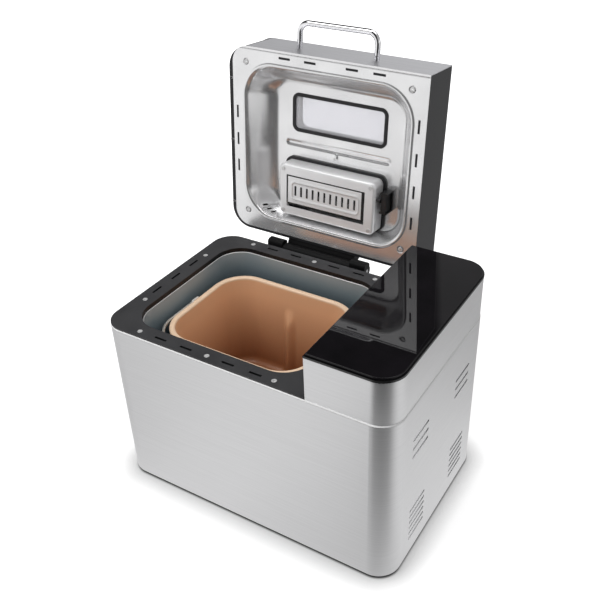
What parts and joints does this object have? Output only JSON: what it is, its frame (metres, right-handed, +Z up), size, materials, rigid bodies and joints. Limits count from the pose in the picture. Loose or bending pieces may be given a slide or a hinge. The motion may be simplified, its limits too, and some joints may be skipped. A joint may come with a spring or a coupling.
{
  "type": "bread machine",
  "caption": "Bread machine with a steel housing, a side control block, a hinged lid with a window and a fruit dispenser, and a lift-out pan with a bail and a kneading paddle.",
  "frame": {"origin": "on the table, under the middle of the machine's outline with the lid open", "axes": "+X to the user's right, +Y to the back, +Z up"},
  "size_m": [0.4, 0.3654, 0.5369],
  "materials": {
    "brushed_steel": "brushed",
    "liner_steel": "satin",
    "black_plastic": "fine grain",
    "gloss_black": "gloss",
    "rubber": "matte",
    "screw_steel": "plated",
    "shaft_steel": "ground",
    "chrome": "polished",
    "glass": "clear",
    "cavity_coating": "satin",
    "sheet_metal": "plated",
    "pan_coating": "satin coating",
    "cast_metal": "cast",
    "bearing_bronze": "sintered",
    "circuit_board": "populated",
    "display": "dark"
  },
  "bodies": {
    "housing": {"base_tray": "black_plastic", "rubber_feet": "rubber", "housing_wrap": "brushed_steel", "back_screws": "screw_steel", "cord_gland": "black_plastic", "panel_collar": "brushed_steel", "panel_chassis": "black_plastic", "panel_bezel": "gloss_black", "control_glass": "gloss_black", "display_module": "display", "control_board": "circuit_board", "power_board": "circuit_board", "top_surround": "black_plastic", "surround_screws": "screw_steel", "oven_cavity": "cavity_coating", "heat_shield": "sheet_metal", "heating_element": "sheet_metal", "heater_clips": "sheet_metal", "temperature_sensor": "sheet_metal", "pan_socket": "cast_metal", "frame_screws": "screw_steel", "chassis_bridge": "sheet_metal", "drive_bearing": "bearing_bronze", "drive_belt": "rubber", "motor_body": "sheet_metal", "motor_bracket": "sheet_metal", "hinge_base": "black_plastic", "hinge_pin": "shaft_steel"},
    "drive": {"drive_shaft": "shaft_steel", "drive_coupling": "cast_metal", "drive_pulley": "cast_metal"},
    "motor": {"motor_shaft": "shaft_steel", "motor_pulley": "cast_metal"},
    "pan": {"bread_pan": "pan_coating", "pan_base": "cast_metal", "bail_ears": "sheet_metal", "pan_bush": "black_plastic"},
    "bail": {"pan_bail": "shaft_steel"},
    "paddle": {"paddle_shaft": "shaft_steel", "shaft_wing": "cast_metal", "kneading_paddle": "pan_coating"},
    "lid": {"lid_frame": "black_plastic", "lid_cover": "brushed_steel", "lid_liner": "liner_steel", "lid_screws": "screw_steel", "inner_window": "glass", "window_gasket": "rubber", "window_tunnel": "black_plastic", "outer_window": "glass", "lid_handle": "chrome", "handle_screws": "screw_steel", "hinge_leaf": "black_plastic", "dispenser_box": "liner_steel", "dispenser_seal": "rubber", "dispenser_frame": "liner_steel", "dispenser_screws": "screw_steel", "flap_pin": "shaft_steel", "latch_guide": "liner_steel"},
    "flap": {"dispenser_flap": "liner_steel"},
    "latch": {"dispenser_latch": "black_plastic"}
  },
  "joints": [
    {"name": "lid_hinge", "type": "hinge", "parent": "housing", "child": "lid", "pos_m": [-0.052, 0.08779, 0.23525], "axis": [-1, 0, 0], "range_deg": [-95.2, 0]},
    {"name": "flap_hinge", "type": "hinge", "parent": "lid", "child": "flap", "pos_m": [-0.052, 0.11346, 0.29507], "axis": [1, 0, 0], "range_deg": [0, 70]},
    {"name": "latch_slide", "type": "slide", "parent": "lid", "child": "latch", "axis": [-1, 0, 0], "range_m": [0, 0.005]},
    {"name": "pan_lift", "type": "slide", "parent": "housing", "child": "pan", "axis": [0, 0, 1], "range_m": [0, 0.2]},
    {"name": "bail_swing", "type": "hinge", "parent": "pan", "child": "bail", "pos_m": [-0.052, -0.05271, 0.209], "axis": [-1, 0, 0], "range_deg": [0, 180]},
    {"name": "drive_spin", "type": "hinge", "parent": "housing", "child": "drive", "pos_m": [-0.052, -0.05271, 0.04], "axis": [0, 0, 1], "continuous": true},
    {"name": "motor_spin", "type": "hinge", "parent": "housing", "child": "motor", "pos_m": [0.14, -0.05271, 0.06], "axis": [0, 0, 1], "continuous": true},
    {"name": "paddle_spin", "type": "hinge", "parent": "pan", "child": "paddle", "pos_m": [-0.052, -0.05271, 0.08], "axis": [0, 0, 1], "continuous": true}
  ],
  "couplings": [
    {"joint": "motor_spin", "follows": "drive_spin", "ratio": 4.5833},
    {"joint": "paddle_spin", "follows": "drive_spin", "ratio": 1}
  ]
}
